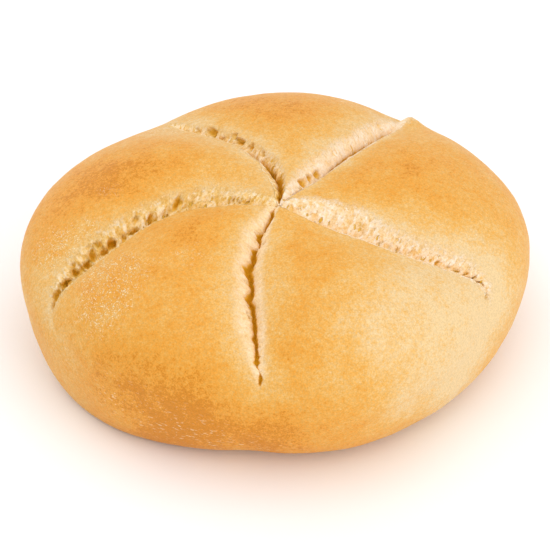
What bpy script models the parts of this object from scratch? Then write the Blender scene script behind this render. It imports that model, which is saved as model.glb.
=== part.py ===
"""A bread roll cut with a five-armed star: one solid of baked dough, domed on top and flat underneath.

Units are metres and +Z is up. The origin is under the middle of the roll, on the surface that it rests on.
Headings are in degrees, counter-clockwise from +X as seen from above.
"""

import math

import bpy
import numpy as np

MM = 0.001

# The dough before it is cut: a dome over a rim, and a rounded edge down to the flat base.
CROWN_HEIGHT = 43.5 * MM
RIM_HEIGHT = 20.5 * MM
SQUARENESS = 2.1  # 2 makes the dome and the edge elliptical, more makes them boxier
RIM_REACHES = np.array([56.8, 58.4, 54.6, 53.4, 50.1, 55.3, 51.5, 50.5, 50.4, 53.5]) * MM  # from +X round
BASE_SHARES = np.array([0.62, 0.66, 0.79, 0.66, 0.70, 0.92, 0.63, 0.77])  # base's reach over the rim's

# The star: where its arms meet, and each arm's headings at even steps from there to its end. Its walls and
# the petals' shoulders above them are given clockwise and counter-clockwise of it.
STAR_CENTRE = np.array([1.7, -6.5]) * MM
ARMS = [
    {
        "headings": (54, 53.3, 52.4, 53),
        "length": 52 * MM,
        "depth": 5.4 * MM,
        "walls": (2.2 * MM, 4.8 * MM),
        "shoulders": (7 * MM, 11 * MM),
    },
    {
        "headings": (85, 98, 114, 122),
        "length": 49 * MM,
        "depth": 4.6 * MM,
        "walls": (2.6 * MM, 2.2 * MM),
        "shoulders": (9 * MM, 7 * MM),
    },
    {
        "headings": (182, 171, 185.2, 197, 203.5),
        "length": 55 * MM,
        "depth": 6.4 * MM,
        "walls": (5.6 * MM, 2.4 * MM),
        "shoulders": (11 * MM, 6 * MM),
    },
    {
        "headings": (238, 252, 262, 267),
        "length": 54 * MM,
        "depth": 4.4 * MM,
        "walls": (4.8 * MM, 3.0 * MM),
        "shoulders": (10 * MM, 9 * MM),
    },
    {
        "headings": (325, 334, 334.8, 338, 337.2),
        "length": 54 * MM,
        "depth": 5.0 * MM,
        "walls": (2.4 * MM, 5.4 * MM),
        "shoulders": (7 * MM, 11 * MM),
    },
]

# How far each petal, after each arm, puffs out, how steeply it does so (1 is a broad bulge, 2 a narrow one),
# and how much of that is left down the sides.
PETAL_SWELLS = np.array([1.0, 2.4, 1.2, 3.4, 0.4]) * MM
SWELL_POWER = 1.4
RIM_SWELL_SHARE = 0.3

# A cut's section: a torn wall on each side, the petal's round shoulder above it, a narrow crack at the
# bottom.
SHOULDER_SHARE = 0.34  # the share of the depth that the round shoulder takes
WALL_HOLLOW = 1.3  # 1 makes the walls straight, more makes them hollow
CRACK_DEPTH = 2.2 * MM
CRACK_WIDTH = 0.9 * MM
# How an arm opens from the star's centre and closes at its far end, as shares of its length.
OPEN_AT, CLOSING_FROM, CLOSED_AT, SHOULDER_GONE_AT = 0.3, 0.72, 1.04, 1.2
FIRST_DEPTH_SHARE, FIRST_WIDTH_SHARE, LAST_WIDTH_SHARE = 0.55, 0.2, 0.35
UNION_POWER = 4  # how sharply the arms' cuts run into each other

# The mesh lines that run out from the star, some of them on each cut's walls, and the rings that cross them.
LINES_PER_PETAL = 20
WALL_LINES = 5
WALL_LIMIT = 0.35  # the most of a petal's width that a wall's lines may take, where the petals meet
TOP_RINGS, EDGE_RINGS, BASE_RINGS = 32, 9, 2

CRUST_COLOUR = (0.80, 0.50, 0.19, 1.0)


def ease(start, end, value):
    """0 before start, 1 after end and smooth in between."""
    share = np.clip((value - start) / (end - start), 0.0, 1.0)
    return share * share * (3.0 - 2.0 * share)


def round_curve(values, heading):
    """A smooth closed curve through values that stand at equal headings, from +X round."""
    count = len(values)
    total = np.full_like(heading, values.mean())
    steps = np.arange(count) * math.tau / count
    for wave in range(1, count // 2):
        total += 2.0 / count * (values @ np.cos(wave * steps)) * np.cos(wave * heading)
        total += 2.0 / count * (values @ np.sin(wave * steps)) * np.sin(wave * heading)
    return total


def profile(ring, base_share):
    """Share of the rim's reach, height, and outward direction (out, up) of the uncut dough on a ring."""
    dome = CROWN_HEIGHT - RIM_HEIGHT
    power = 2.0 / SQUARENESS
    turn = np.clip(ring / TOP_RINGS, 0.0, 1.0) * math.pi / 2
    tuck = np.clip((ring - TOP_RINGS) / EDGE_RINGS, 0.0, 1.0) * math.pi / 2
    inwards = np.clip((ring - TOP_RINGS - EDGE_RINGS) / BASE_RINGS, 0.0, 1.0)
    far, high = np.abs(np.sin(turn)) ** power, np.abs(np.cos(turn)) ** power
    edge_share = base_share + (1.0 - base_share) * np.abs(np.cos(tuck)) ** power
    share = np.where(ring <= TOP_RINGS, far, edge_share * (1.0 - inwards))
    lower = RIM_HEIGHT * (1.0 - np.sin(tuck) ** power)
    height = np.where(ring <= TOP_RINGS, RIM_HEIGHT + dome * high, lower)
    out = dome * far ** (SQUARENESS - 1.0)
    up = RIM_REACHES.mean() * np.where(ring < TOP_RINGS, high, 0.0) ** (SQUARENESS - 1.0)
    length = np.hypot(out, up)
    return share, height, out / length, up / length


def way_along(ring):
    """How far a ring is from the star's centre, measured over the dough."""
    fine = np.linspace(0.0, TOP_RINGS + EDGE_RINGS, 400)
    share, height, _, _ = profile(fine, BASE_SHARES.mean())
    steps = np.hypot(np.diff(share * RIM_REACHES.mean()), np.diff(height))
    return np.interp(ring, fine, np.concatenate([[0.0], np.cumsum(steps)]))


def smooth_through(values, s):
    """One smooth curve through values that stand evenly from 0 to 1."""
    stops = np.linspace(0.0, 1.0, len(values))
    total = np.zeros_like(s)
    for index, value in enumerate(values):
        others = np.delete(stops, index)
        total += value * np.prod([(s - other) / (stops[index] - other) for other in others], axis=0)
    return total


def arm_heading(arm, way):
    """An arm's heading in radians after it has run this far from the star's centre."""
    s = np.clip(way / arm["length"], 0.0, SHOULDER_GONE_AT)
    return np.radians(smooth_through(arm["headings"], s))


def wall_widths(arm, way):
    """The widths of an arm's two walls, clockwise and counter-clockwise of it, this far from the centre."""
    s = way / arm["length"]
    taper = FIRST_WIDTH_SHARE + (1.0 - FIRST_WIDTH_SHARE) * ease(0.0, OPEN_AT, s)
    taper *= 1.0 - (1.0 - LAST_WIDTH_SHARE) * ease(CLOSING_FROM, CLOSED_AT, s)
    return arm["walls"][0] * taper, arm["walls"][1] * taper


def cut_depth(heading, radius, way):
    """How deep the five arms together sink the dough below its uncut surface."""
    total = np.zeros_like(heading)
    for arm in ARMS:
        turn = (heading - arm_heading(arm, way) + math.pi) % math.tau - math.pi
        aside = radius * np.minimum(np.abs(turn), math.pi / 2)
        s = way / arm["length"]
        opened = ease(0.0, OPEN_AT, s)
        closed = ease(CLOSING_FROM, CLOSED_AT, s)
        wall_width = np.where(turn < 0, *wall_widths(arm, way))
        wall = (1 - SHOULDER_SHARE) * np.clip(1 - aside / wall_width, 0, 1) ** WALL_HOLLOW * (1 - closed)
        shoulder = SHOULDER_SHARE * np.exp(-((aside / np.where(turn < 0, *arm["shoulders"])) ** 2))
        shoulder *= 1 - ease(CLOSING_FROM, SHOULDER_GONE_AT, s)
        crack = CRACK_DEPTH * np.clip(1 - aside / CRACK_WIDTH, 0, 1) * opened * (1 - closed)
        depth = arm["depth"] * (FIRST_DEPTH_SHARE + (1 - FIRST_DEPTH_SHARE) * opened)
        total += (depth * (wall + shoulder) + crack) ** UNION_POWER
    return total ** (1 / UNION_POWER)


def heading_between(petal, across, radius, way):
    """A mesh line's heading, and its share of the petal's width: every wall gets the same lines."""
    headings, widths = [], []
    for arm in ARMS + ARMS[:1]:
        headings.append(arm_heading(arm, way))
        widths.append(wall_widths(arm, way))
    headings[-1] = headings[-1] + math.tau
    headings, widths = np.array(headings), np.array(widths)
    columns = np.arange(len(petal))
    start, end = headings[petal, columns], headings[petal + 1, columns]
    gap = np.maximum(radius * (end - start), 0.001 * MM)
    first = np.minimum(widths[petal, 1, columns] / gap, WALL_LIMIT)
    last = np.minimum(widths[petal + 1, 0, columns] / gap, WALL_LIMIT)
    wall = WALL_LINES / LINES_PER_PETAL
    share = first + (across - wall) / (1 - 2 * wall) * (1 - first - last)
    share = np.where(across < wall, across / wall * first, share)
    share = np.where(across > 1 - wall, 1 - (1 - across) / wall * last, share)
    return start + (end - start) * share, share


def shaped_points(lines, rings):
    """The roll's surface for mesh lines, counted round from the first arm, and rings, from the star."""
    way = way_along(rings)
    petal = np.floor(lines / LINES_PER_PETAL).astype(int) % len(ARMS)
    across = lines / LINES_PER_PETAL % 1.0
    mean_radius = profile(rings, BASE_SHARES.mean())[0] * RIM_REACHES.mean()
    heading, petal_share = heading_between(petal, across, mean_radius, way)
    share, height, out, up = profile(rings, round_curve(BASE_SHARES, heading))
    radius = share * round_curve(RIM_REACHES, heading)
    swell = PETAL_SWELLS[petal] * np.abs(np.sin(math.pi * petal_share)) ** SWELL_POWER
    swell *= ease(0.1, 0.5, rings / TOP_RINGS)
    swell *= 1 - (1 - RIM_SWELL_SHARE) * ease(0.75, 1.2, rings / TOP_RINGS)
    push = np.where(rings <= TOP_RINGS + EDGE_RINGS, swell - cut_depth(heading, radius, way), 0.0)
    shift = np.where(rings <= TOP_RINGS, 1.0 - share**2, 0.0)
    x = (radius + push * out) * np.cos(heading) + STAR_CENTRE[0] * shift
    y = (radius + push * out) * np.sin(heading) + STAR_CENTRE[1] * shift
    return np.column_stack([x, y, height + push * up])


def clear_scene():
    for thing in list(bpy.data.objects):
        bpy.data.objects.remove(thing, do_unlink=True)


def crust_material():
    crust = bpy.data.materials.new("baked_crust")
    crust.use_nodes = True
    shader = crust.node_tree.nodes["Principled BSDF"]
    shader.inputs["Base Color"].default_value = CRUST_COLOUR
    shader.inputs["Roughness"].default_value = 0.5
    shader.inputs["Metallic"].default_value = 0.0
    return crust


def bread_roll():
    """A sphere whose meridians become the lines out from the star and whose parallels become the rings."""
    segments = LINES_PER_PETAL * len(ARMS)
    ring_count = TOP_RINGS + EDGE_RINGS + BASE_RINGS
    bpy.ops.mesh.primitive_uv_sphere_add(segments=segments, ring_count=ring_count, radius=1.0)
    roll = bpy.context.object
    roll.name = roll.data.name = "bread_roll"
    ball = np.empty(len(roll.data.vertices) * 3, np.float32)
    roll.data.vertices.foreach_get("co", ball)
    ball = ball.reshape(-1, 3).astype(float)
    lines = np.round(np.arctan2(ball[:, 1], ball[:, 0]) / math.tau * segments) % segments
    rings = np.round(np.arccos(np.clip(ball[:, 2], -1, 1)) / math.pi * ring_count)
    points = shaped_points(lines, rings)
    middle = (points.max(0) + points.min(0)) / 2
    points -= [middle[0], middle[1], points[:, 2].min()]
    roll.data.vertices.foreach_set("co", points.astype(np.float32).ravel())
    roll.data.update()
    roll.data.shade_smooth()
    roll.data.materials.append(crust_material())
    return roll


def main():
    clear_scene()
    home = bpy.data.collections.new("Bread roll")
    bpy.context.scene.collection.children.link(home)
    roll = bread_roll()
    for old_home in list(roll.users_collection):
        old_home.objects.unlink(roll)
    home.objects.link(roll)


main()
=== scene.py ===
import math

import bpy
import numpy as np
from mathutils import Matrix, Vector, noise


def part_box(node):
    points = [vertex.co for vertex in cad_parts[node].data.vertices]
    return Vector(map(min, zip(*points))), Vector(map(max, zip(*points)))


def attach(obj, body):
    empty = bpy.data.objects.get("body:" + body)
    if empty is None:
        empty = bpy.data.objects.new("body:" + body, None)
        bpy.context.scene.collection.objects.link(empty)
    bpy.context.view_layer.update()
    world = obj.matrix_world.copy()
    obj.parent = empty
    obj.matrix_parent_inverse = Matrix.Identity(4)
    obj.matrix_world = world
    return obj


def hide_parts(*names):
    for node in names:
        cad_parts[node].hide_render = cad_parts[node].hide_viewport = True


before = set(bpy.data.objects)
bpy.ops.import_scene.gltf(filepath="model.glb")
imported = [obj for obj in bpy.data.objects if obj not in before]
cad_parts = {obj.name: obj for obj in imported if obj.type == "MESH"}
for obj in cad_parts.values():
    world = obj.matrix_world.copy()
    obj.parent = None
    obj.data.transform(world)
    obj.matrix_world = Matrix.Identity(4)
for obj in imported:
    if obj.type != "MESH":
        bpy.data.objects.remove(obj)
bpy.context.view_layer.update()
mm = 0.001
print("frame loaded")


# small helpers


def ease(start, end, value):
    share = np.clip((value - start) / (end - start), 0.0, 1.0)
    return share * share * (3.0 - 2.0 * share)


def wander(along, size, seed):  # smooth -1..1 noise along a line
    return np.array([noise.noise((x / size, seed * 3.7, 0.5)) for x in along]) * 1.6


def cloud(points, size, octaves, seed):  # smooth noise in space, about -1..1
    spots = (points / size + seed * 5.3).tolist()
    return np.array([noise.fractal(spot, 1.0, 2.0, octaves) for spot in spots])


def deselectAll():
    if bpy.context.object and bpy.context.object.mode != "OBJECT":
        bpy.ops.object.mode_set(mode="OBJECT")
    bpy.ops.object.select_all(action="DESELECT")


# the roll: a dome over a rim, cut with a star of five arms. Millimetres and degrees, with headings
# counter-clockwise from +X. A place of 0 to 1 is on the top, 1 to 2 on the edge and 2 to 3 on the base, and a
# bump goes by (heading, way from the star, reach, height)
roll = {
    "crownHeight": 43.5,
    "rimHeight": 20.5,
    "squareness": 2.1,
    "rimReaches": (56.8, 58.4, 54.6, 53.4, 50.1, 55.3, 51.5, 50.5, 50.4, 53.5),
    "baseShares": (0.62, 0.66, 0.79, 0.66, 0.70, 0.92, 0.63, 0.77),
    "starCentre": (1.7, -6.5),
    "petalSwells": (1.0, 2.4, 1.2, 3.4, 0.4),
    "swellPower": 1.4,
    "swellStarts": (0.1, 0.5),
    "rimSwellShare": 0.3,
    "rimSwellEnds": (0.75, 1.2),
    "shoulderShare": 0.34,
    "firstDepthShare": 0.38,
    "closing": (0.72, 1.04),
    "firstWidthShare": 0.45,
    "linesPerPetal": 80,
    "wallLines": 22,
    "gapLines": 6,
    "mostWallShare": 0.35,
    "mostGapShare": 0.4,
    "topRings": 190,
    "ringCrowding": 0.15,
    "edgeRings": 40,
    "baseRings": 14,
    "bumps": ((51.5, 50, 3.5, 2.1), (57, 50.5, 4, -1.1), (226, 68, 11, 1.2), (317, 71, 8, 1.0),
              (264, 78, 9, -0.5)),
}

# pairs are given clockwise of the cut first, then counter-clockwise. A gap goes by (way, lean, width), a hole
# by (way, aside, length, width, depth), and what leans or lies counter-clockwise is above 0. A hole's depth
# also sets how dark its painted shade is. For the torn crumb, toast is how browned it is, paleness its middle
# tone, calm how even it is, lumps how high it stands and pits how deep its bubbles are and how much painted
# shade darkens them
cuts = [
    {
        "name": "backRight",
        "headings": (54, 53.3, 52.4, 53),
        "length": 53,
        "closing": (0.88, 1.16),
        "depth": 5.4,
        "walls": (2.2, 4.8),
        "shoulders": (7, 11),
        "slopes": (1.0, 1.5),
        "softness": (0.12, 0.75),
        "pale": (0.30, 0.38),
        "paleReach": (4, 6),
        "gapDepth": 1.2,
        "gap": ((3, 0, 0.3), (8, 0.4, 0.6), (14, 0.6, 0.3), (20, 1.0, 0.4), (27, 1.4, 0.8), (34, 1.4, 0.7),
                (41, 1.2, 0.9), (45, 0.8, 1.9), (47, 0.6, 1.9), (50, 0.3, 0.9), (56, 0, 0)),
        "holes": ((11.4, 1.1, 3.0, 1.6, 1.3), (14.0, 1.2, 1.4, 1.5, 1.0), (17.2, 0.7, 2.6, 1.2, 1.1),
                  (18.0, 2.6, 0.9, 1.6, 0.4), (20.4, 3.6, 0.9, 2.0, 0.3), (25.0, 1.6, 1.2, 0.8, 0.4),
                  (44.5, 2.2, 2.0, 1.6, 0.5)),
        "toast": 0.0,
        "paleness": 0.535,
        "calm": 0.55,
        "lumps": 0.13,
        "pits": 0.5,
    },
    {
        "name": "backLeft",
        "headings": (85, 98, 114, 122),
        "length": 49,
        "depth": 4.6,
        "walls": (2.6, 2.2),
        "shoulders": (9, 7),
        "slopes": (1.4, 1.0),
        "softness": (0.7, 0.12),
        "pale": (0.34, 0.28),
        "paleReach": (6, 6),
        "gapDepth": 1.0,
        "gap": ((1.5, 0, 0.2), (2.6, -0.2, 1.7), (6.8, -0.5, 2.0), (7.8, -0.3, 0.8), (8.8, -0.7, 2.2),
                (11.6, -0.9, 2.1), (12.8, -0.4, 0.8), (14, -0.4, 1.2), (18, -0.4, 1.2), (19.5, -0.2, 0.4),
                (23, -0.2, 0.8), (27, 0, 0.4), (30, 0, 0.7), (41, 0, 0)),
        "holes": ((21.0, -1.1, 1.8, 0.8, 0.9), (24.8, -1.2, 1.6, 1.0, 1.2), (28.6, -1.1, 2.6, 1.2, 1.4),
                  (30.6, -1.9, 1.6, 1.4, 0.8), (33.4, -1.0, 1.2, 0.8, 0.7), (36.6, -1.3, 2.8, 1.4, 1.3),
                  (35.8, -2.2, 0.9, 0.9, 0.5), (40.5, -1.2, 1.6, 0.8, 0.6)),
        "toast": 0.65,
        "paleness": 0.495,
        "calm": 0.1,
        "lumps": 0.15,
        "pits": 0.8,
    },
    {
        "name": "left",
        "headings": (182, 171, 185.2, 197, 203.5),
        "length": 55,
        "closing": (0.78, 1.10),
        "depth": 6.4,
        "walls": (5.6, 2.4),
        "shoulders": (11, 6),
        "slopes": (1.4, 1.0),
        "softness": (0.5, 0.10),
        "pale": (0.40, 0.08),
        "paleReach": (8, 3),
        "gapDepth": 1.2,
        "gap": ((18, 0, 0.2), (24, 0, 0.7), (29, 0, 0.8), (34, 0, 0.5), (40, 0, 1.2), (50, 0, 1.4),
                (56, 0, 0)),
        "holes": ((7.5, -1.9, 1.2, 1.2, 0.7), (9.8, -1.7, 0.9, 0.9, 0.7), (11.3, -1.9, 0.7, 0.9, 0.5),
                  (14.0, -3.4, 0.8, 1.8, 0.4), (17.1, -2.8, 1.4, 1.9, 0.5), (18.0, -4.4, 0.5, 1.3, 0.3),
                  (19.4, -2.8, 0.6, 1.6, 0.4), (21.1, -2.2, 1.3, 0.9, 0.8), (22.8, -3.5, 2.3, 2.8, 1.7),
                  (24.2, -2.3, 0.9, 1.7, 0.6), (25.4, -2.2, 0.7, 1.4, 0.5), (28.0, -2.1, 1.7, 2.1, 1.6),
                  (30.9, -3.5, 1.5, 1.3, 0.8), (31.7, -2.0, 3.0, 0.9, 1.5), (34.0, -2.0, 1.8, 0.8, 1.1),
                  (37.0, -2.2, 2.7, 1.3, 1.8), (39.3, -1.9, 2.4, 1.0, 1.5), (40.1, -3.5, 1.2, 1.5, 1.2),
                  (42.4, -2.7, 2.1, 2.0, 1.6), (42.2, -4.0, 1.2, 1.1, 0.7), (44.4, -1.9, 2.4, 1.3, 1.8),
                  (46.1, -1.6, 1.4, 1.0, 1.2), (47.7, -1.6, 2.2, 1.6, 1.7), (47.2, -2.9, 1.3, 1.2, 1.0),
                  (50.8, -1.1, 2.6, 1.5, 1.7), (52.4, -0.6, 1.4, 0.9, 0.9), (54.4, -0.9, 2.8, 1.4, 1.5),
                  (56.6, -0.5, 1.8, 1.0, 1.0)),
        "toast": 0.88,
        "paleness": 0.5,
        "calm": 0.0,
        "lumps": 0.18,
        "pits": 1.0,
    },
    {
        "name": "front",
        "headings": (238, 252, 262, 267),
        "length": 54,
        "depth": 4.4,
        "walls": (4.8, 3.0),
        "shoulders": (10, 9),
        "slopes": (1.7, 1.6),
        "softness": (0.75, 0.6),
        "pale": (0.32, 0.24),
        "paleReach": (6, 6),
        "gapDepth": 0.9,
        "gap": ((2, 0, 0.3), (4.5, 0.8, 1.2), (6.8, 0.7, 0.8), (9.2, 0.6, 0.5), (10.0, -0.2, 2.1),
                (11.4, -0.2, 1.5), (12.6, 0.3, 0.5), (14.0, 0.4, 0.2), (15.0, -0.3, 1.8), (19.0, 0, 1.4),
                (20.6, -0.8, 2.0), (22.0, -1.2, 2.7), (23.4, -0.8, 2.0), (25.0, -0.2, 1.5), (28.6, 0.1, 1.1),
                (30.2, -0.6, 1.8), (31.3, -0.9, 2.3), (32.6, -0.1, 1.5), (36.0, 0.1, 1.1), (40.6, -0.1, 1.0),
                (42.2, -0.5, 1.5), (44.2, -0.3, 1.1), (49.6, -0.5, 1.2), (51.0, -0.4, 0.5), (51.8, 0, 0),
                (52.6, 0.2, 0.3), (53.8, 0.3, 1.2), (55.0, 0.1, 0.5), (55.8, 0, 0)),
        "holes": ((13.2, 1.0, 0.9, 0.6, 0.9), (33.4, -0.9, 0.9, 0.7, 1.2), (34.7, -0.9, 0.8, 0.7, 1.2),
                  (36.2, -1.0, 1.0, 0.9, 1.5), (26.4, -1.0, 0.7, 0.6, 0.6)),
        "toast": 0.05,
        "paleness": 0.478,
        "calm": 0.9,
        "lumps": 0.07,
        "pits": 0.2,
    },
    {
        "name": "right",
        "headings": (325, 334, 334.8, 338, 337.2),
        "length": 54,
        "depth": 5.0,
        "walls": (2.4, 5.4),
        "shoulders": (7, 11),
        "slopes": (1.0, 1.4),
        "softness": (0.10, 0.75),
        "hubReach": 0.7,  # how much wider the crumb shows near the star
        "pale": (0.18, 0.36),
        "paleReach": (5, 7),
        "gapDepth": 0.8,
        "gap": ((36, 0, 0.1), (39, 0, 0.5), (44, 0, 0.3), (50, 0, 0.5), (55, 0, 0)),
        "holes": ((4.3, 0.9, 0.9, 0.9, 0.5), (7.0, 1.5, 0.7, 0.9, 0.4), (12.2, 2.5, 0.5, 1.3, 0.4),
                  (15.9, 4.4, 0.6, 1.2, 0.4), (19.6, 1.8, 0.6, 1.3, 0.5), (21.2, 3.1, 0.6, 1.1, 0.6),
                  (24.6, 1.5, 0.6, 1.2, 0.5), (26.7, 1.5, 0.6, 1.3, 0.5), (28.6, 1.5, 0.9, 0.9, 0.7),
                  (31.6, 1.6, 0.6, 1.1, 0.5), (34.0, 1.2, 0.7, 1.0, 0.6), (38.6, 1.3, 1.5, 1.1, 1.2),
                  (41.3, 1.2, 2.0, 0.5, 0.8), (44.3, 0.9, 1.3, 0.6, 1.1), (46.4, 0.5, 0.8, 0.6, 0.9),
                  (48.2, 0.5, 0.8, 1.2, 1.1), (49.8, 0, 0.8, 0.6, 0.6), (51.6, 0, 1.0, 0.5, 0.6),
                  (53.6, -0.6, 1.6, 0.6, 0.7)),
        "toast": 0.0,
        "paleness": 0.5,
        "calm": 0.25,
        "lumps": 0.14,
        "pits": 0.7,
    },
]


def roundCurve(values, heading):  # a closed curve through values at equal headings
    values = np.array(values)
    count = len(values)
    total = np.full_like(heading, values.mean())
    steps = np.arange(count) * math.tau / count
    for wave in range(1, count // 2):
        total += 2 / count * (values @ np.cos(wave * steps)) * np.cos(wave * heading)
        total += 2 / count * (values @ np.sin(wave * steps)) * np.sin(wave * heading)
    return total


def profileAt(place, baseShare):  # place 0..1 is the top, 1..2 the edge, 2..3 the base
    dome = roll["crownHeight"] - roll["rimHeight"]
    power = 2 / roll["squareness"]
    turn = np.clip(place, 0, 1) * math.pi / 2
    tuck = np.clip(place - 1, 0, 1) * math.pi / 2
    inwards = np.clip(place - 2, 0, 1)
    far, high = np.abs(np.sin(turn)) ** power, np.abs(np.cos(turn)) ** power
    edgeShare = baseShare + (1 - baseShare) * np.abs(np.cos(tuck)) ** power
    share = np.where(place <= 1, far, edgeShare * (1 - inwards))
    lower = roll["rimHeight"] * (1 - np.sin(tuck) ** power)
    height = np.where(place <= 1, roll["rimHeight"] + dome * high, lower)
    out = dome * far ** (roll["squareness"] - 1)
    up = np.mean(roll["rimReaches"]) * np.where(place < 1, high, 0) ** (roll["squareness"] - 1)
    length = np.hypot(out, up)
    return share, height, out / length, up / length


def ringPlaces():  # rings stand evenly over the dough, a little closer at the star
    share = np.linspace(0, 1, roll["topRings"] + 1)
    share = share * (1 - roll["ringCrowding"] + roll["ringCrowding"] * share)
    top = np.interp(share * np.interp(1, finePlaces, fineWays), fineWays, finePlaces)
    edge = 1 + np.arange(1, roll["edgeRings"] + 1) / roll["edgeRings"]
    base = 2 + np.arange(1, roll["baseRings"] + 1) / roll["baseRings"]
    return np.concatenate([top, edge, base])


fineCount = 1200  # steps that measure the way over the dough
finePlaces = np.linspace(0, 2, fineCount)
fineShare, fineHeight, _, _ = profileAt(finePlaces, np.mean(roll["baseShares"]))
fineSteps = np.hypot(np.diff(fineShare * np.mean(roll["rimReaches"])), np.diff(fineHeight))
fineWays = np.concatenate([[0], np.cumsum(fineSteps)])
places = ringPlaces()
ways = np.interp(places, finePlaces, fineWays)
meanRadii = profileAt(places, np.mean(roll["baseShares"]))[0] * np.mean(roll["rimReaches"])


def smoothThrough(values, s):  # one smooth curve through values that stand evenly from 0 to 1
    stops = np.linspace(0, 1, len(values))
    total = np.zeros_like(s)
    for index, value in enumerate(values):
        others = np.delete(stops, index)
        total += value * np.prod([(s - other) / (stops[index] - other) for other in others], axis=0)
    return total


def stepThrough(stations, values):  # rounded steps from one station to the next, and nothing past the ends
    spot = np.interp(ways, stations, np.arange(len(stations)))
    before = np.minimum(spot.astype(int), len(stations) - 2)
    value = values[before] + (values[before + 1] - values[before]) * ease(0, 1, spot - before)
    started = ease(stations[0] - 1, stations[0], ways)
    ended = ease(stations[-1], stations[-1] + 0.5, ways)
    return value * started * (1 - ended)


# how unevenly the dough tore. A wander goes by (strength, size, seed). What starts or ends does so between
# two shares of a cut's length, and a reach is counted in wall widths or in half gaps
tearing = {
    "farthest": 1.2,
    "leanWander": (0.12, 1.1, 1),
    "leanStarts": (1, 5),  # mm
    "leanEnds": (0.95, 1.1),
    "leastRadius": 3.0,
    "gapWander": (0.4, 0.8, 41),
    "gapRange": (0.3, 2),
    "leastGapHalf": 0.08,
    "fullDepthGap": 0.7,
    "wallWander": (0.12, 4.0, 21),
    "wallFray": (0.06, 1.3, 31),
    "secondWallSeed": 7,
    "leastWall": 0.3,
    "opens": (0, 0.3),
    "endNarrowing": 0.65,
    "shoulderEnds": (0.72, 1.19),
    "tornStarts": (0, 0.02),
    "tornEnds": (0.93, 1.08),
    "tornReach": 1.1,
    "hubReachEnds": (0.1, 0.6),
    "gapReach": 1.1,
    "gapRounding": 0.6,
    "gapShading": (0.45, 1.1),
    "glowStart": 0.5,
    "glowEnds": (0.95, 1.25),
    "unionPower": 4,
}


def tearWander(name, number):
    strength, size, seed = tearing[name]
    return strength * wander(ways, size, number + seed)


def layOutCuts():  # what each cut does on every ring
    for number, cut in enumerate(cuts):
        s = np.clip(ways / cut["length"], 0, tearing["farthest"])
        heading = np.radians(smoothThrough(cut["headings"], s))
        stations, leans, gaps = np.array(cut["gap"], float).T
        lean = stepThrough(stations, leans) + tearWander("leanWander", number)
        lean *= ease(*tearing["leanStarts"], ways) * (1 - ease(*tearing["leanEnds"], s))
        gap = stepThrough(stations, gaps) * np.clip(1 + tearWander("gapWander", number), *tearing["gapRange"])
        opened, closed = ease(*tearing["opens"], s), ease(*cut.get("closing", roll["closing"]), s)
        taper = roll["firstWidthShare"] + (1 - roll["firstWidthShare"]) * opened
        taper *= 1 - tearing["endNarrowing"] * closed
        widths = []
        for side, turn in ((0, 1), (1, -1)):
            seed = number + side * tearing["secondWallSeed"]
            ragged = 1 + tearWander("wallWander", seed)
            ragged += tearWander("wallFray", seed)
            width = cut["walls"][side] * taper * ragged + turn * lean
            widths.append(np.maximum(width, tearing["leastWall"]))
        cut["middle"] = heading
        cut["heading"] = heading + lean / np.maximum(meanRadii, tearing["leastRadius"])
        cut["s"] = s
        cut["ringDepth"] = cut["depth"] * (roll["firstDepthShare"] + (1 - roll["firstDepthShare"]) * opened)
        cut["closed"] = closed
        cut["widths"] = widths
        cut["gapHalf"] = np.maximum(gap / 2, tearing["leastGapHalf"])
        cut["gapDepths"] = cut["gapDepth"] * np.clip(gap / tearing["fullDepthGap"], 0, 1)


def petalShareOf(petal, heading, ring):  # 0 at one cut's middle line and 1 at the next
    middles = np.array([cut["middle"] for cut in cuts] + [cuts[0]["middle"] + math.tau])
    start, end = middles[petal, ring], middles[petal + 1, ring]
    return np.clip((heading - start) / (end - start), 0, 1)


def headingBetween(petal, across, ring):  # mesh lines stand closer on the walls and in the gaps
    radius = meanRadii[ring]
    headings = np.array([cut["heading"] for cut in cuts] + [cuts[0]["heading"] + math.tau])
    walls = np.array([cut["widths"] for cut in cuts] + [cuts[0]["widths"]])
    gaps = np.array([cut["gapHalf"] for cut in cuts] + [cuts[0]["gapHalf"]])
    start, end = headings[petal, ring], headings[petal + 1, ring]
    span = np.maximum(radius * (end - start), 0.001)
    first = np.minimum(walls[petal, 1, ring] / span, roll["mostWallShare"])
    last = np.minimum(walls[petal + 1, 0, ring] / span, roll["mostWallShare"])
    firstGap = np.minimum(gaps[petal, ring] / span, first * roll["mostGapShare"])
    lastGap = np.minimum(gaps[petal + 1, ring] / span, last * roll["mostGapShare"])
    wall = roll["wallLines"] / roll["linesPerPetal"]
    gap = roll["gapLines"] / roll["linesPerPetal"]
    share = first + (across - wall) / (1 - 2 * wall) * (1 - first - last)
    back = 1 - across
    onFirst = firstGap + (across - gap) / (wall - gap) * (first - firstGap)
    onLast = lastGap + (back - gap) / (wall - gap) * (last - lastGap)
    share = np.where(across < wall, onFirst, share)
    share = np.where(across < gap, across / gap * firstGap, share)
    share = np.where(back < wall, 1 - onLast, share)
    share = np.where(back < gap, 1 - back / gap * lastGap, share)
    return start + (end - start) * share


def turnFrom(heading, middle):  # the shorter way round, counter-clockwise above 0
    return (heading - middle + math.pi) % math.tau - math.pi


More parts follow.
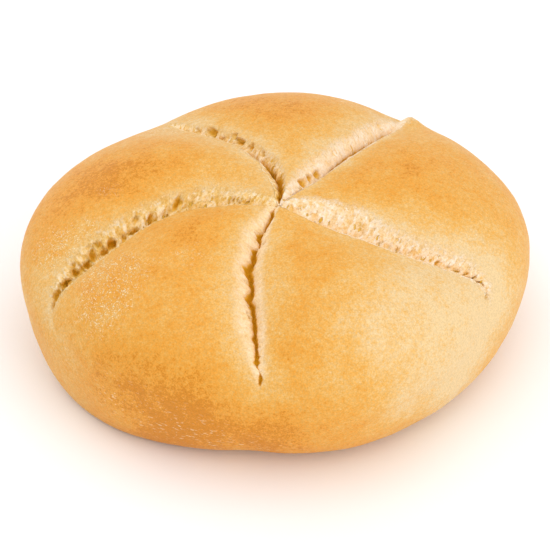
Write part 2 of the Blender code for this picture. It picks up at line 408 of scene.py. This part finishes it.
def cutShape(heading, radius, ring):  # how deep all the cuts go, and what the nearest one does there
    total, glow = np.zeros_like(heading), np.zeros_like(heading)
    best = np.full_like(heading, np.inf)
    near = {key: np.zeros_like(heading) for key in ("cut", "side", "aside", "torn", "gap")}
    for number, cut in enumerate(cuts):
        s = cut["s"][ring]
        turn = turnFrom(heading, cut["heading"][ring])
        side = (turn > 0).astype(int)
        aside = radius * np.minimum(np.abs(turn), math.pi / 2)
        fromMiddle = radius * np.minimum(np.abs(turnFrom(heading, cut["middle"][ring])), math.pi / 2)
        slope, shoulders, soft, paleness, paleReach = (
            np.array(cut[key])[side] for key in ("slopes", "shoulders", "softness", "pale", "paleReach"))
        wallWidth = np.array(cut["widths"])[side, ring]
        share = aside / wallWidth
        gapShare = aside / cut["gapHalf"][ring]

        wall = (1 - roll["shoulderShare"]) * np.clip(1 - share, 0, 1) ** slope * (1 - cut["closed"][ring])
        shoulder = roll["shoulderShare"] * np.exp(-((fromMiddle / shoulders) ** 2))
        shoulder *= 1 - ease(*tearing["shoulderEnds"], s)
        gap = np.clip(tearing["gapReach"] - gapShare, 0, 1) ** tearing["gapRounding"] * cut["gapDepths"][ring]
        total += (cut["ringDepth"][ring] * (wall + shoulder) + gap) ** tearing["unionPower"]

        reach = cut.get("hubReach", 0) * (1 - ease(*tearing["hubReachEnds"], s)) * side + tearing["tornReach"]
        torn = np.clip((reach - share) / soft, 0, 1) * (1 - ease(*tearing["tornEnds"], s))
        torn *= ease(*tearing["tornStarts"], s)
        # painted shade: darker towards the middle of a gap, the more so the deeper the gap
        gapShade = 1 - ease(*tearing["gapShading"], gapShare)
        gapShade *= np.clip(cut["gapDepths"][ring] / cut["gapDepth"], 0, 1)
        fromWall = np.maximum(aside - tearing["glowStart"] * wallWidth, 0)
        pale = paleness * np.exp(-((fromWall / paleReach) ** 2))
        glow = np.maximum(glow, pale * (1 - ease(*tearing["glowEnds"], s)))

        nearer = share < best
        best = np.where(nearer, share, best)
        for key, value in (("cut", number), ("side", side), ("aside", aside), ("torn", torn), ("gap", gapShade)):
            near[key] = np.where(nearer, value, near[key])
    near.update(share=best, glow=glow)
    return total ** (1 / tearing["unionPower"]), near


def shapedPoints(heading, petal, ring):
    place = places[ring]
    petalShare = petalShareOf(petal, heading, ring)
    share, height, out, up = profileAt(place, roundCurve(roll["baseShares"], heading))
    radius = share * roundCurve(roll["rimReaches"], heading)
    depth, marks = cutShape(heading, radius, ring)
    crest = np.abs(np.sin(math.pi * petalShare)) ** roll["swellPower"]
    swell = np.array(roll["petalSwells"])[petal] * crest * ease(*roll["swellStarts"], place)
    swell *= 1 - (1 - roll["rimSwellShare"]) * ease(*roll["rimSwellEnds"], place)
    push = np.where(place <= 2, swell - depth, 0)
    shift = np.where(place <= 1, 1 - share**2, 0)
    x = (radius + push * out) * np.cos(heading) + roll["starCentre"][0] * shift
    y = (radius + push * out) * np.sin(heading) + roll["starCentre"][1] * shift
    marks.update(place=place, crest=crest, heading=heading, petal=petal, way=ways[ring])
    return np.column_stack([x, y, height + push * up]) * mm, marks


def buildRoll():
    lineCount = roll["linesPerPetal"] * len(cuts)
    ringCount = roll["topRings"] + roll["edgeRings"] + roll["baseRings"]
    deselectAll()
    bpy.ops.mesh.primitive_uv_sphere_add(segments=lineCount, ring_count=ringCount, radius=1)
    piece = bpy.context.object
    piece.name = piece.data.name = "roll_crust"
    ball = np.empty(len(piece.data.vertices) * 3, np.float32)
    piece.data.vertices.foreach_get("co", ball)
    ball = ball.reshape(-1, 3).astype(float)
    line = np.round(np.arctan2(ball[:, 1], ball[:, 0]) / math.tau * lineCount).astype(int) % lineCount
    ring = np.round(np.arccos(np.clip(ball[:, 2], -1, 1)) / math.pi * ringCount).astype(int)
    petal = line // roll["linesPerPetal"]
    across = line / roll["linesPerPetal"] % 1

    layOutCuts()
    print("cuts laid out:", ", ".join(cut["name"] for cut in cuts))
    points, marks = shapedPoints(headingBetween(petal, across, ring), petal, ring)
    low, high = (np.array(corner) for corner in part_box("bread_roll"))
    points = (points - points.min(0)) / (points.max(0) - points.min(0)) * (high - low) + low
    piece.data.vertices.foreach_set("co", points.astype(np.float32).ravel())
    piece.data.update()
    piece.data.shade_smooth()
    marks["points"] = points
    print("roll shaped", len(piece.data.polygons), "faces")
    return piece, marks


# the crumb's relief in mm. A wander goes by (strength, size, seed)
crumbShape = {
    "holeWanders": ((0.7, 1.2, 3.0), (0.5, 1.0, 4.0)),  # along the cut, across it
    "holeEdge": (0.35, 1.25),
    "fullShadeDepth": 1.7,  # as deep as this, a hole has its full painted shade
    "pitCell": (1.1, 1.5),
    "pitEdge": (0.08, 0.3),  # start, width
    "pitRarity": 0.4,
    "leastTorn": 0.01,
    "pitDepth": 0.8,
    "pitsLostUphill": 0.5,
    "lumpSize": (1.7, 2.2),
    "curdSize": (0.7, 0.9),
    "curdShare": 0.5,
    "fractal": (0.9, 2.1),
    "laneStep": (17, 7.3),  # sets the noise of each cut and side apart
}


def holeRelief(marks):  # the holes that steam tore in the walls: how deep, which later sets how dark their painted shade is
    relief = np.zeros_like(marks["way"])
    points = marks["points"] / mm
    wanders = [strength * cloud(points, size, 2, seed) for strength, size, seed in crumbShape["holeWanders"]]
    way = marks["way"] + wanders[0]
    signed = np.where(marks["side"] > 0, 1, -1) * marks["aside"] + wanders[1]
    for number, cut in enumerate(cuts):
        here = marks["cut"] == number
        for middle, aside, length, width, depth in cut["holes"]:
            spread = np.hypot((way - middle) / (length / 2), (signed - aside) / (width / 2))
            hole = depth * (1 - ease(*crumbShape["holeEdge"], spread))
            relief = np.maximum(relief, np.where(here, hole, 0))
    return relief


def crumbRelief(marks):  # small bubbles and lumps all over the torn crumb, and how much painted shade darkens each bubble
    shape = crumbShape
    relief = np.zeros_like(marks["way"])
    hollow = np.zeros_like(marks["way"])
    for index in np.nonzero(marks["torn"] > shape["leastTorn"])[0]:
        number, side = int(marks["cut"][index]), int(marks["side"][index])
        along, aside, share = marks["way"][index], marks["aside"][index], marks["share"][index]
        lane = number * shape["laneStep"][0] + side * shape["laneStep"][1]
        distances, centres = noise.voronoi((along / shape["pitCell"][0], aside / shape["pitCell"][1], lane))
        chance = noise.cell((centres[0].x * 7.7, centres[0].y * 5.3, lane)) * 0.5 + 0.5
        start, width = shape["pitEdge"]
        pit = min(max((distances[1] - distances[0] - start) / width, 0), 1)
        size = pit * max(chance - shape["pitRarity"], 0) * (1 - shape["pitsLostUphill"] * min(share, 1))
        size *= cuts[number]["pits"]
        lumpPlace = (along / shape["lumpSize"][0], aside / shape["lumpSize"][1], lane + 3)
        curdPlace = (along / shape["curdSize"][0], aside / shape["curdSize"][1], lane + 5)
        lump = noise.fractal(lumpPlace, *shape["fractal"], 3)
        curd = noise.fractal(curdPlace, *shape["fractal"], 2)
        raised = (lump + shape["curdShare"] * curd) * cuts[number]["lumps"]
        relief[index] = shape["pitDepth"] * size - raised
        hollow[index] = size
    return relief * marks["torn"], hollow * marks["torn"]


leastMove = 0.002  # mm


def pushIn(piece, name, depths):  # moves points along their normals, by millimetres, outwards where below 0
    for way, part in (("in", np.maximum(depths, 0)), ("out", np.maximum(-depths, 0))):
        group = piece.vertex_groups.new(name=name + way)
        for index in np.nonzero(part > leastMove)[0].tolist():
            group.add([index], part[index] / part.max(), "REPLACE")
        deselectAll()
        piece.select_set(True)
        bpy.context.view_layer.objects.active = piece
        modifier = piece.modifiers.new(name + way, "DISPLACE")
        modifier.vertex_group = group.name
        modifier.mid_level = 0
        modifier.strength = part.max() * mm * (-1 if way == "in" else 1)
        bpy.ops.object.modifier_apply(modifier=modifier.name)


def addAttribute(piece, name, values):
    layer = piece.data.attributes.new(name, "FLOAT", "POINT")
    layer.data.foreach_set("value", values.astype(np.float32))


# how the oven coloured it, with some painted shade. A patch goes by (heading, way from the star, reach,
# strength), above 0 where it is browner. The patches at headings 220 to 270 and ways of 60 and more darken
# the low front edge where it turns down, partly browning and partly painted shade, and those at headings 300
# to 350 make the right side paler. The flakes are pale streaks of lifted skin, and the blisters the fine
# shiny ones that steam raises, whose pale colour is partly painted glints
baking = {
    "plain": 0.52,
    "crest": 0.12,
    "unevenness": (0.05, 13.0, 8.0),
    "patches": (
        (286, 24, 6, 0.10), (274, 47, 4, 0.30), (273, 41, 7, 0.14), (297, 44, 8, -0.16),
        (169, 38, 12, 0.33), (160, 28, 10, 0.12), (136, 21, 7, -0.08), (190, 48, 8, 0.20),
        (187, 61, 6, -0.12), (99, 38, 9, 0.20), (84, 36, 9, 0.12), (73, 23, 7, -0.12), (14, 28, 9, 0.12),
        (35, 31, 8, 0.12), (357, 26, 7, -0.14), (213, 20, 9, 0.17), (211, 46, 6, 0.10), (235, 44, 7, -0.06),
        (232, 62, 9, 0.15), (254, 60, 13, 0.16), (222, 77, 9, 0.25), (237, 83, 9, 0.30),
        (248, 73, 15, 0.43), (270, 74, 14, 0.46), (292, 72, 9, 0.04), (303, 65, 8, -0.34),
        (308, 48, 17, -0.34), (326, 56, 16, -0.43), (318, 69, 10, -0.32), (346, 60, 12, -0.20),
        (350, 44, 9, -0.12), (5, 52, 9, -0.08), (322, 36, 8, -0.14), (212, 40, 8, 0.08), (224, 65, 8, 0.14),
        (120, 60, 12, 0.12), (60, 62, 12, 0.14),
    ),
    "flakes": (
        (228, 67, 6, 0.5), (238, 70, 7, 0.7), (247, 73, 7, 0.8), (256, 75, 7, 0.8), (265, 77, 7, 0.6),
        (275, 77, 6, 0.4), (213, 64, 6, 0.3), (120, 72, 8, 0.6), (60, 74, 7, 0.5), (15, 72, 8, 0.4),
    ),
    "blisters": (
        (191, 49, 7, 1.0), (186, 40, 4, 0.6), (211, 41, 8, 1.0), (220, 50, 8, 0.7), (226, 26, 7, 0.45),
        (172, 37, 4, 0.5), (246, 47, 5, 0.35), (352, 42, 4, 0.4), (344, 41, 3, 0.5), (330, 33, 4, 0.5),
        (130, 44, 9, 0.6), (70, 50, 9, 0.5), (20, 50, 7, 0.4),
    ),
}


def patchSum(marks, patches):
    x, y = marks["way"] * np.cos(marks["heading"]), marks["way"] * np.sin(marks["heading"])
    total = np.zeros_like(x)
    for heading, way, reach, strength in patches:
        turn = math.radians(heading)
        far = np.hypot(x - way * math.cos(turn), y - way * math.sin(turn))
        total += strength * np.exp(-((far / reach) ** 2))
    return total


def bakeAndShadeOf(marks):
    bakeAndShade = baking["plain"] + baking["crest"] * marks["crest"]
    bakeAndShade += patchSum(marks, baking["patches"]) - marks["glow"]
    strength, size, seed = baking["unevenness"]
    return bakeAndShade + strength * cloud(marks["points"] / mm, size, 2, seed)


# the crust's relief in mm. Puckers go by (height, size, seed), and end between two places on the edge, as the
# browned base starts between two
crustShape = {
    "puckers": ((0.22, 15.0, 1.0), (0.07, 5.0, 2.0)),
    "puckersEnd": (1.5, 1.8),
    "underStarts": (1.55, 1.98),
    "alongStep": 70,  # sets the fibres of each cut apart
}


def crustRelief(marks):
    points = marks["points"] / mm
    relief = sum(height * cloud(points, size, 2, seed) for height, size, seed in crustShape["puckers"])
    return relief * ((1 - marks["torn"]) * (1 - ease(*crustShape["puckersEnd"], marks["place"])))


def dressedMarks(marks, holes, hollow):  # what the material reads from the surface
    intact = 1 - marks["torn"]
    wanted = {
        "torn": marks["torn"],
        # painted shade in the gaps, holes and bubbles, fuller where they are deeper
        "depthShade": np.clip(np.maximum.reduce([marks["gap"], holes / crumbShape["fullShadeDepth"], hollow]), 0, 1),
        "low": np.clip(1 - marks["share"], 0, 1),
        "along": marks["way"] + crustShape["alongStep"] * marks["cut"],
        "aside": marks["aside"] * np.where(marks["side"] > 0, 1, -1),
        "bakeAndShade": bakeAndShadeOf(marks),
        "blisterGlint": np.clip(patchSum(marks, baking["blisters"]), 0, 1) * intact,
        "flaky": np.clip(patchSum(marks, baking["flakes"]), 0, 1) * intact,
        "under": ease(*crustShape["underStarts"], marks["place"]),
    }
    for key in ("toast", "calm", "paleness"):
        wanted[key] = np.array([cut[key] for cut in cuts])[marks["cut"].astype(int)]
    return wanted


crustPiece, marks = buildRoll()
holes = holeRelief(marks)
crumb, hollow = crumbRelief(marks)
relief = crustRelief(marks) + crumb - patchSum(marks, roll["bumps"])
pushIn(crustPiece, "relief", relief + holes)
print("crumb torn and crust puckered")

for name, values in dressedMarks(marks, holes, hollow).items():
    addAttribute(crustPiece, name, values)
print("baking laid on")


# materials. A noise goes by (features per mm, detail, roughness), and cells by how many there are per mm. An
# edge, a share or a size gives where something starts and where it is full. Relief is in mm

crustLook = {
    "colours": (
        (0.00, (0.790, 0.570, 0.295)),
        (0.20, (0.785, 0.505, 0.205)),
        (0.40, (0.780, 0.440, 0.118)),
        (0.55, (0.775, 0.395, 0.080)),
        (0.70, (0.770, 0.355, 0.052)),
        (0.85, (0.770, 0.325, 0.036)),
        (1.00, (0.650, 0.240, 0.015)),
    ),
    "crumb": (
        (0.36, (0.81, 0.46, 0.15)),
        (0.45, (0.90, 0.63, 0.33)),
        (0.53, (0.94, 0.73, 0.50)),
        (0.62, (0.97, 0.85, 0.71)),
    ),
    "toastedCrumb": (
        (0.36, (0.74, 0.39, 0.06)),
        (0.45, (0.87, 0.56, 0.18)),
        (0.53, (0.93, 0.66, 0.31)),
        (0.62, (0.98, 0.80, 0.54)),
    ),
    # the gaps, holes and pores: a toasted brown that darkens with depth as painted shade
    "hollow": ((0.00, (0.90, 0.60, 0.22)), (0.50, (0.82, 0.47, 0.07)), (1.00, (0.65, 0.31, 0.005))),
    "under": (0.55, 0.26, 0.07),
    # the pale colour of the flakes, and of the blisters as painted glints
    "blisterGlint": (0.98, 0.83, 0.52),
    "roughness": 0.48,
    "crumbRoughness": 0.85,
    "specular": 0.22,
    "patchy": (0.22, 3.0, 0.55),
    "patchyStrength": 0.62,
    "grain": (1.1, 3.0, 0.65),
    "grainStrength": 0.90,
    "grainRoughness": 0.25,
    "grainRelief": 0.14,
    "dust": (3.4, 1.0),
    "dustStrength": 0.55,
    "dustRelief": 0.35,  # share of the grain's
    "speckCells": 0.75,
    "speckShare": (0.80, 0.84),
    "speckSize": (0.10, 0.22),
    "speckStrength": 0.16,
    "domeCells": 1.8,
    "domeShare": (0.2, 0.5),
    "domeSize": (0.12, 0.36),
    "domeStrength": 0.7,
    "curls": (0.85, 1.0),
    "curlWidth": (0.008, 0.035),
    "curlShare": (0.44, 0.56),
    "crowds": (0.5, 2.0),
    "crowdEdge": (0.10, 0.40),
    "flakeStretch": (0.4, 0.8, 1.3),
    "flakes": (1.7, 2.0),
    "flakeEdge": (0.61, 0.70),
    # how much of that pale colour and painted glint shows
    "paleAndGlintStrength": 0.9,
    "raisedRoughness": -0.22,
    "raisedRelief": 0.09,
    "fibreStretch": (1.3, 0.8, 1.0),
    "fibres": (1.0, 4.0, 0.6),
    "fibreStrength": 0.45,
    "meal": (1.6, 3.0, 0.6),
    "mealStrength": 0.38,
    "wobbles": 1.1,
    "wobbleReach": (1.3, 1.3, 0),
    "shardCells": 0.95,
    "shardStrength": 0.17,
    "crumbMiddle": 0.51,
    "calming": -0.75,
    "poreCells": 0.8,
    "poreShare": (0.62, 0.75),
    "poreSize": (0.15, 0.38),
    "poreByDepth": (0.1, 0.7, 0.15, 0.75),
    "fraying": 0.8,
    "fibreFraying": 0.3,
    "tornEdge": (0.05, 0.95),
    "crumbRelief": 0.6,
    "curdRelief": 1.2,  # share of the crumb's
    "hollowEdge": (0.02, 0.55),
    "underPatches": (0.2, 0.6, 0.6, 1.0),
    # painted fine shade and glints: a speckle of lighter and darker laid over the whole colour
    "shades": (2.6, 2.0, 0.7),
    "shadeStrength": 0.6,
    "reliefStrength": 0.8,
}


class Wiring:  # a material's node tree, with one short call for each kind of node
    def __init__(self, name):
        self.material = bpy.data.materials.new(name)
        self.material.use_nodes = True
        self.tree = self.material.node_tree
        self.shader = self.tree.nodes["Principled BSDF"]

    def put(self, socket, value):
        if isinstance(value, bpy.types.NodeSocket):
            self.tree.links.new(value, socket)
        elif value is not None:
            socket.default_value = value

    def node(self, kind, inputs=(), **settings):
        made = self.tree.nodes.new("ShaderNode" + kind)
        for key, value in settings.items():
            setattr(made, key, value)
        for place, value in enumerate(inputs):
            self.put(made.inputs[place], value)
        return made

    def mark(self, name):
        return self.node("Attribute", attribute_name=name).outputs["Fac"]

    def sum(self, kind, first, second=0.5, third=None, clamp=False):
        return self.node("Math", (first, second, third), operation=kind, use_clamp=clamp).outputs[0]

    def spread(self, value, low, high, newLow=0.0, newHigh=1.0):
        made = self.node("MapRange", (value, low, high, newLow, newHigh), interpolation_type="SMOOTHSTEP")
        return made.outputs[0]

    def cloud(self, place, scale, detail=2.0, roughness=0.5):
        made = self.node("TexNoise", (place,))
        for key, value in (("Scale", scale), ("Detail", detail), ("Roughness", roughness)):
            made.inputs[key].default_value = value
        return made.outputs["Fac"]

    def cells(self, place, scale, feature="F1"):
        made = self.node("TexVoronoi", (place,), feature=feature)
        made.inputs["Scale"].default_value = scale
        return made

    def chance(self, cells, channel):  # an even random number for each cell
        return self.node("SeparateColor", (cells.outputs["Color"],)).outputs[channel]

    def spots(self, cells, size):  # 1 in the middle of each cell
        return self.spread(cells.outputs["Distance"], *size, 1.0, 0.0)

    def stretch(self, place, by):
        return self.node("VectorMath", (place, by), operation="MULTIPLY").outputs[0]

    def stir(self, value, noiseValue, strength):  # adds a noise, which is about 0.5 in the middle, to a value
        return self.sum("MULTIPLY_ADD", self.sum("SUBTRACT", noiseValue), strength, value)

    def ramp(self, value, stops):
        made = self.node("ValToRGB", (value,))
        bar = made.color_ramp
        bar.elements[0].position, bar.elements[1].position = stops[0][0], stops[-1][0]
        bar.elements[0].color, bar.elements[1].color = (*stops[0][1], 1), (*stops[-1][1], 1)
        for position, colour in stops[1:-1]:
            bar.elements.new(position).color = (*colour, 1)
        return made.outputs["Color"]

    def blend(self, share, first, second):
        made = self.node("Mix", data_type="RGBA")
        for socket, value in ((made.inputs[0], share), (made.inputs[6], first), (made.inputs[7], second)):
            self.put(socket, (*value, 1) if isinstance(value, tuple) else value)
        return made.outputs[2]


def crustColour(wiring, place, patchy, grain, dust):  # the oven's colour, with painted shade on the low front edge, and fine dark specks
    look = crustLook
    value = wiring.stir(wiring.mark("bakeAndShade"), patchy, look["patchyStrength"])
    value = wiring.stir(value, grain, look["grainStrength"])
    value = wiring.stir(value, dust, look["dustStrength"])
    specks = wiring.cells(place, look["speckCells"])
    rare = wiring.spread(wiring.chance(specks, 0), *look["speckShare"])
    speck = wiring.sum("MULTIPLY", rare, wiring.spots(specks, look["speckSize"]))
    value = wiring.sum("MULTIPLY_ADD", speck, look["speckStrength"], value)
    return wiring.ramp(value, look["colours"])


def raisedSkinAndGlints(wiring, place, dust):  # blisters, which are domes and curls and carry pale painted glints, and flakes along the low edge
    look = crustLook
    domes = wiring.cells(place, look["domeCells"])
    plump = wiring.spread(wiring.chance(domes, 1), *look["domeShare"])
    dome = wiring.sum("MULTIPLY", wiring.spots(domes, look["domeSize"]), plump)
    winding = wiring.sum("ABSOLUTE", wiring.sum("SUBTRACT", wiring.cloud(place, *look["curls"])), None)
    curl = wiring.spread(winding, *look["curlWidth"], 1.0, 0.0)
    curl = wiring.sum("MULTIPLY", curl, wiring.spread(dust, *look["curlShare"]))
    crowd = wiring.sum("MULTIPLY", wiring.mark("blisterGlint"), wiring.cloud(place, *look["crowds"]))
    blisters = wiring.sum("MAXIMUM", wiring.sum("MULTIPLY", dome, look["domeStrength"]), curl)
    blisters = wiring.sum("MULTIPLY", blisters, wiring.spread(crowd, *look["crowdEdge"]))
    flake = wiring.cloud(wiring.stretch(place, look["flakeStretch"]), *look["flakes"])
    flakes = wiring.sum("MULTIPLY", wiring.spread(flake, *look["flakeEdge"]), wiring.mark("flaky"))
    return wiring.sum("MAXIMUM", blisters, flakes)


def tornCrumb(wiring, place):  # its tone, from fibres across the walls, its pores, which dip and get painted shade, and where it shows
    look = crustLook
    wallPlace = wiring.node("CombineXYZ", (wiring.mark("along"), wiring.mark("aside"), 0.0)).outputs[0]
    fibrePlace = wiring.stretch(wallPlace, look["fibreStretch"])
    wobble = wiring.node("TexNoise", (wallPlace,))
    wobble.inputs["Scale"].default_value = look["wobbles"]
    wobbled = (wobble.outputs["Color"], look["wobbleReach"], fibrePlace)
    shardPlace = wiring.node("VectorMath", wobbled, operation="MULTIPLY_ADD").outputs[0]
    lively = wiring.sum("MULTIPLY_ADD", wiring.mark("calm"), look["calming"], 1.0)

    fibres = wiring.cloud(fibrePlace, *look["fibres"])
    mealy = wiring.cloud(place, *look["meal"])
    shard = wiring.chance(wiring.cells(shardPlace, look["shardCells"]), 0)
    mixed = wiring.sum("MULTIPLY", mealy, look["mealStrength"])
    mixed = wiring.sum("MULTIPLY_ADD", fibres, look["fibreStrength"], mixed)
    mixed = wiring.sum("MULTIPLY_ADD", shard, look["shardStrength"], mixed)
    contrast = wiring.sum("SUBTRACT", mixed, look["crumbMiddle"])
    tone = wiring.sum("MULTIPLY_ADD", contrast, lively, wiring.mark("paleness"))

    pores = wiring.cells(shardPlace, look["poreCells"])
    opened = wiring.spread(wiring.chance(pores, 2), *look["poreShare"])
    shadedPore = wiring.sum("MULTIPLY", wiring.spots(pores, look["poreSize"]), opened)
    shadedPore = wiring.sum("MULTIPLY", shadedPore, wiring.spread(wiring.mark("low"), *look["poreByDepth"]))
    shadedPore = wiring.sum("MULTIPLY", shadedPore, lively)

    frayed = wiring.stir(wiring.sum("SUBTRACT", mealy), fibres, look["fibreFraying"])
    frayed = wiring.sum("MULTIPLY", frayed, lively)
    ragged = wiring.sum("MULTIPLY_ADD", frayed, look["fraying"], wiring.mark("torn"))
    return tone, shadedPore, wiring.spread(ragged, *look["tornEdge"])


def goldenCrust():
    look = crustLook
    wiring = Wiring("golden_crust")
    place = wiring.stretch(wiring.node("TexCoord").outputs["Object"], (1 / mm, 1 / mm, 1 / mm))
    patchy, grain, dust = (wiring.cloud(place, *look[name]) for name in ("patchy", "grain", "dust"))
    raised = raisedSkinAndGlints(wiring, place, dust)
    tone, shadedPore, tornShare = tornCrumb(wiring, place)

    crust = crustColour(wiring, place, patchy, grain, dust)
    # pale flakes, and pale painted glints on the blisters
    crust = wiring.blend(wiring.sum("MULTIPLY", raised, look["paleAndGlintStrength"]), crust, look["blisterGlint"])
    crumbs = (wiring.ramp(tone, look["crumb"]), wiring.ramp(tone, look["toastedCrumb"]))
    skin = wiring.blend(tornShare, crust, wiring.blend(wiring.mark("toast"), *crumbs))
    # painted shade: the gaps, holes and pores darken towards a toasted brown
    shadeInHollows = wiring.sum("MAXIMUM", wiring.mark("depthShade"), wiring.sum("MULTIPLY", shadedPore, tornShare))
    hollow = wiring.ramp(shadeInHollows, look["hollow"])
    skin = wiring.blend(wiring.spread(shadeInHollows, *look["hollowEdge"]), skin, hollow)
    under = wiring.sum("MULTIPLY", wiring.mark("under"), wiring.spread(patchy, *look["underPatches"]))
    skin = wiring.blend(under, skin, look["under"])
    # painted fine shade and glints, as a speckle of lighter and darker
    shade = wiring.stir(1.0, wiring.cloud(place, *look["shades"]), look["shadeStrength"])
    skin = wiring.node("VectorMath", (skin, None, None, shade), operation="SCALE").outputs[0]
    wiring.put(wiring.shader.inputs["Base Color"], skin)

    rough = wiring.spread(tornShare, 0.0, 1.0, look["roughness"], look["crumbRoughness"])
    rough = wiring.stir(rough, grain, look["grainRoughness"])
    rough = wiring.sum("MULTIPLY_ADD", raised, look["raisedRoughness"], rough, clamp=True)
    wiring.put(wiring.shader.inputs["Roughness"], rough)
    wiring.put(wiring.shader.inputs["Specular IOR Level"], look["specular"])

    height = wiring.sum("ADD", grain, wiring.sum("MULTIPLY", dust, look["dustRelief"]))
    height = wiring.sum("MULTIPLY", height, look["grainRelief"])
    height = wiring.sum("MULTIPLY_ADD", raised, look["raisedRelief"], height)
    curds = wiring.sum("SUBTRACT", wiring.sum("MULTIPLY", tone, look["curdRelief"]), shadedPore)
    curds = wiring.sum("MULTIPLY", tornShare, curds)
    height = wiring.sum("MULTIPLY_ADD", curds, look["crumbRelief"], height)
    bump = wiring.node("Bump")
    bump.inputs["Strength"].default_value = look["reliefStrength"]
    bump.inputs["Distance"].default_value = mm
    wiring.put(bump.inputs["Height"], height)
    wiring.put(wiring.shader.inputs["Normal"], bump.outputs["Normal"])
    return wiring.material


crustPiece.data.materials.append(goldenCrust())
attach(crustPiece, "root")
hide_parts("bread_roll")
print("roll dressed")


# floor, light and camera. The floor and the softboxes are in metres, the camera in millimetres and degrees
studio = {
    "floorSize": 4.0,
    "floorWhite": 1.0,
    "floorRoughness": 0.8,
    "worldStrength": 0.82,
    "softboxes": (  # name, place, size, watts
        ("overhead", (0.1, -0.2, 1.2), 1.5, 5.2),
        ("back_left", (-0.9, 0.8, 0.6), 0.9, 2.2),
        ("front_right", (1.0, -0.9, 0.6), 1.1, 4.4),
    ),
    "cameraElevation": 40,
    "cameraAim": (-0.2, 0, 19),
    "cameraDrop": 3.07,
    "cameraDistance": 570,
    "lens": 166.6,
    "sensorWidth": 36,
    "clipStart": 10,
}


def buildFloor():
    deselectAll()
    bpy.ops.mesh.primitive_plane_add(size=studio["floorSize"], location=(0, 0, 0))
    floor = bpy.context.object
    floor.name = "studio_floor"
    pale = Wiring("pale_floor")
    pale.shader.inputs["Base Color"].default_value = (*[studio["floorWhite"]] * 3, 1)
    pale.shader.inputs["Roughness"].default_value = studio["floorRoughness"]
    floor.data.materials.append(pale.material)


def addSoftbox(name, place, size, power):
    lamp = bpy.data.lights.new(name, "AREA")
    lamp.shape = "SQUARE"
    lamp.size = size
    lamp.energy = power
    holder = bpy.data.objects.new(name, lamp)
    holder.location = place
    holder.rotation_euler = (-Vector(place)).to_track_quat("-Z", "Y").to_euler()
    bpy.context.scene.collection.objects.link(holder)


def setCamera():
    elevation = math.radians(studio["cameraElevation"])
    back = Vector((0, -math.cos(elevation), math.sin(elevation)))
    up = Vector((0, math.sin(elevation), math.cos(elevation)))
    aim = Vector(studio["cameraAim"]) * mm - up * studio["cameraDrop"] * mm
    camera = bpy.data.cameras.new("camera")
    camera.lens = studio["lens"]
    camera.sensor_width = studio["sensorWidth"]
    camera.clip_start = studio["clipStart"] * mm
    holder = bpy.data.objects.new("camera", camera)
    holder.location = aim + back * studio["cameraDistance"] * mm
    holder.rotation_euler = back.to_track_quat("Z", "Y").to_euler()
    bpy.context.scene.collection.objects.link(holder)
    bpy.context.scene.camera = holder


def lightWorld():
    world = bpy.data.worlds.new("studio")
    world.use_nodes = True
    background = world.node_tree.nodes["Background"]
    background.inputs["Color"].default_value = (1, 1, 1, 1)
    background.inputs["Strength"].default_value = studio["worldStrength"]
    bpy.context.scene.world = world
    bpy.context.scene.view_settings.view_transform = "Standard"


buildFloor()
for box in studio["softboxes"]:
    addSoftbox(*box)
lightWorld()
setCamera()
print("studio set")
